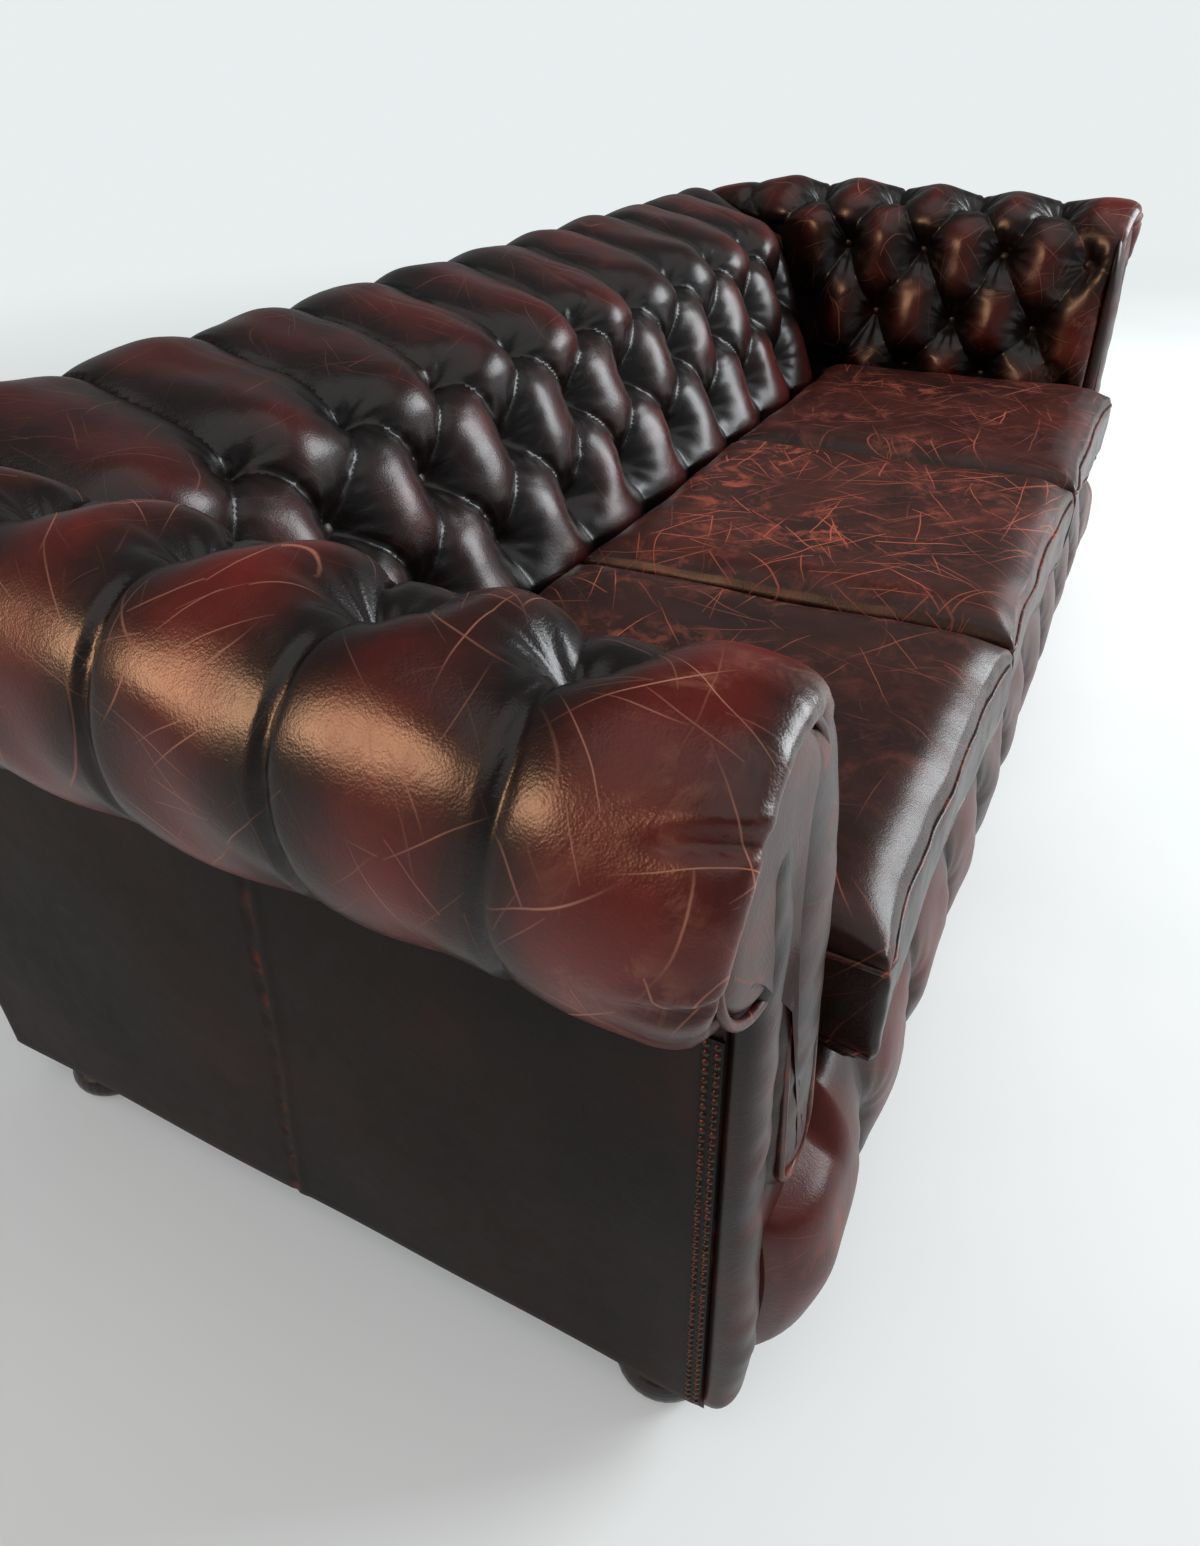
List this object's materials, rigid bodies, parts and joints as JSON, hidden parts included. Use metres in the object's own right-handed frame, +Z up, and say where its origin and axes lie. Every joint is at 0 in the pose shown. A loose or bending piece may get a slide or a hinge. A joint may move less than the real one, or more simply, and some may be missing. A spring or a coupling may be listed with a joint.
{
  "type": "sofa",
  "caption": "Worn buttoned leather sofa with scroll arms level with the back, loose seat cushions, studded front edges and bun feet.",
  "frame": {"origin": "middle of the sofa's footprint, on the floor", "axes": "+X along the length (the sitter's left arm is at +X), the front faces -Y, +Z up"},
  "size_m": [1.9796, 0.929, 0.73],
  "materials": {
    "hardwood": "sawn beech, matt",
    "plywood": "plywood board, matt",
    "foot_lacquer": "turned wood, near-black lacquer",
    "bolt_steel": "zinc-plated",
    "webbing": "woven elastic webbing",
    "deck_cloth": "black lining cloth",
    "foam": "cut foam, matt",
    "red_leather": "oxblood leather, worn and crackled, semi-gloss",
    "dark_leather": "brown-black leather, semi-gloss, rubbed at the edges",
    "stud_tape": "leather tape with small studs"
  },
  "bodies": {
    "root": {"front_rail": "hardwood", "rear_bottom_rail": "hardwood", "rear_tack_rail": "hardwood", "back_top_rail": "hardwood", "back_seat_rail": "hardwood", "side_rail_left": "hardwood", "side_rail_right": "hardwood", "arm_front_post_left": "hardwood", "arm_front_post_right": "hardwood", "arm_rear_post_left": "hardwood", "arm_rear_post_right": "hardwood", "arm_top_rail_left": "hardwood", "arm_top_rail_right": "hardwood", "arm_tack_rail_left": "hardwood", "arm_tack_rail_right": "hardwood", "cross_rail_left": "hardwood", "cross_rail_right": "hardwood", "back_upright_left": "hardwood", "back_upright_centre": "hardwood", "back_upright_right": "hardwood", "corner_block_front_left": "hardwood", "corner_block_front_right": "hardwood", "corner_block_rear_left": "hardwood", "corner_block_rear_right": "hardwood", "facing_board_left": "plywood", "facing_board_right": "plywood", "foot_front_left": "foot_lacquer", "foot_front_right": "foot_lacquer", "foot_rear_left": "foot_lacquer", "foot_rear_right": "foot_lacquer", "foot_bolt_front_left": "bolt_steel", "foot_bolt_front_right": "bolt_steel", "foot_bolt_rear_left": "bolt_steel", "foot_bolt_rear_right": "bolt_steel", "seat_webbing": "webbing", "seat_deck": "deck_cloth", "dust_cover": "deck_cloth", "arm_foam_left": "foam", "arm_foam_right": "foam", "back_foam": "foam", "apron_foam": "foam", "cushion_core_left": "foam", "cushion_core_centre": "foam", "cushion_core_right": "foam", "arm_cover_left": "red_leather", "arm_cover_right": "red_leather", "cushion_case_left": "red_leather", "cushion_case_centre": "red_leather", "cushion_case_right": "red_leather", "back_cover": "dark_leather", "apron_cover": "dark_leather", "outside_back_panel": "dark_leather", "outside_arm_panel_left": "dark_leather", "outside_arm_panel_right": "dark_leather", "arm_facing_left": "dark_leather", "arm_facing_right": "dark_leather", "front_border_left": "dark_leather", "front_border_right": "dark_leather", "stud_strip_left": "stud_tape", "stud_strip_right": "stud_tape"}
  },
  "joints": []
}
